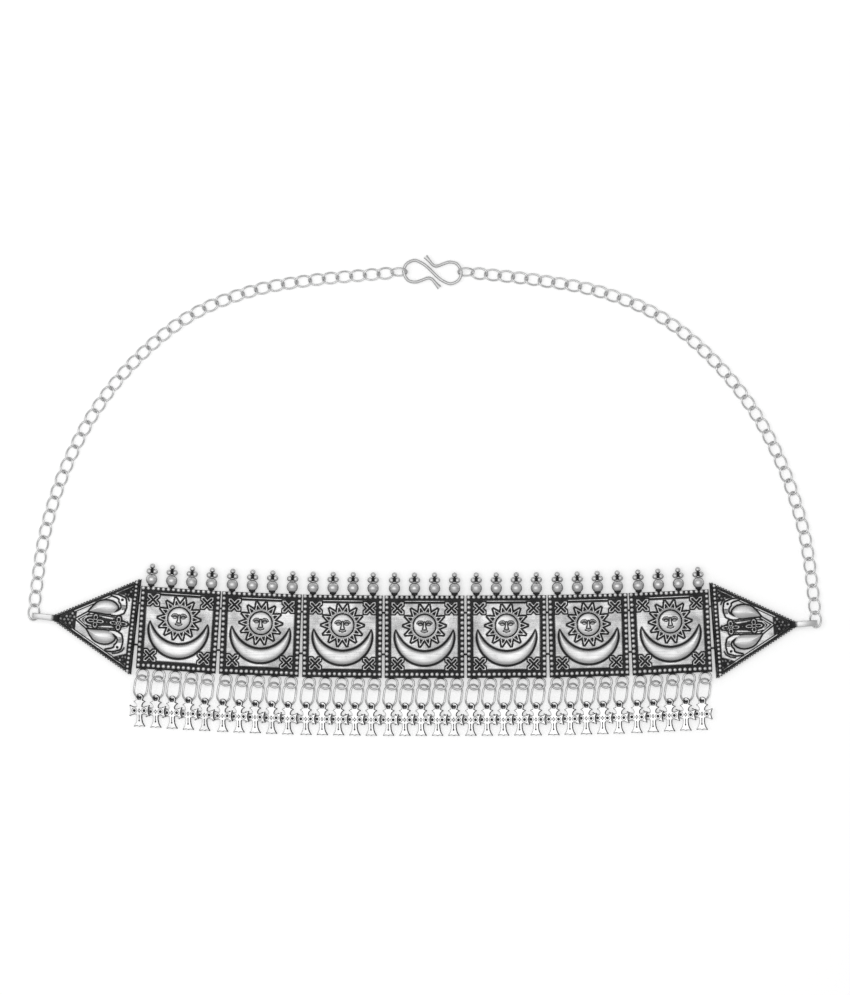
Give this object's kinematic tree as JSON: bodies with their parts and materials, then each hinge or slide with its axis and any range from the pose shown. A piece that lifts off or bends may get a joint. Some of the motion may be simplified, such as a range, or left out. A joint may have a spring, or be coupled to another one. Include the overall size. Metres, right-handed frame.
{
  "type": "choker necklace",
  "caption": "Oxidised silver choker of square sun and crescent panels with bead finials, cross drops, triangular ends, and a link chain with an S hook.",
  "frame": {"origin": "centre of the middle panel's back", "axes": "+X along the row of panels, +Y towards the neck chain, +Z out of the panels' faces"},
  "size_m": [0.1985, 0.1202, 0.0029],
  "materials": {
    "blackened_silver": "cast silver-coloured metal, blackened in the hollows and brushed bright on the relief",
    "bright_silver": "bright polished silver plate",
    "dark_wire": "blackened wire"
  },
  "bodies": {
    "root": {"panel_1": "blackened_silver", "panel_2": "blackened_silver", "panel_3": "blackened_silver", "panel_4": "blackened_silver", "panel_5": "blackened_silver", "panel_6": "blackened_silver", "panel_7": "blackened_silver", "end_left": "blackened_silver", "end_right": "blackened_silver", "joining_link_1": "dark_wire", "joining_link_2": "dark_wire", "joining_link_3": "dark_wire", "joining_link_4": "dark_wire", "joining_link_5": "dark_wire", "joining_link_6": "dark_wire", "joining_link_7": "dark_wire", "joining_link_8": "dark_wire", "drop_1": "bright_silver", "drop_2": "bright_silver", "drop_3": "bright_silver", "drop_4": "bright_silver", "drop_5": "bright_silver", "drop_6": "bright_silver", "drop_7": "bright_silver", "drop_8": "bright_silver", "drop_9": "bright_silver", "drop_10": "bright_silver", "drop_11": "bright_silver", "drop_12": "bright_silver", "drop_13": "bright_silver", "drop_14": "bright_silver", "drop_15": "bright_silver", "drop_16": "bright_silver", "drop_17": "bright_silver", "drop_18": "bright_silver", "drop_19": "bright_silver", "drop_20": "bright_silver", "drop_21": "bright_silver", "drop_22": "bright_silver", "drop_23": "bright_silver", "drop_24": "bright_silver", "drop_25": "bright_silver", "drop_26": "bright_silver", "drop_27": "bright_silver", "drop_28": "bright_silver", "drop_29": "bright_silver", "drop_30": "bright_silver", "drop_31": "bright_silver", "drop_32": "bright_silver", "drop_33": "bright_silver", "drop_34": "bright_silver", "drop_35": "bright_silver", "chain_left": "bright_silver", "chain_right": "bright_silver", "clasp": "bright_silver"}
  },
  "joints": []
}
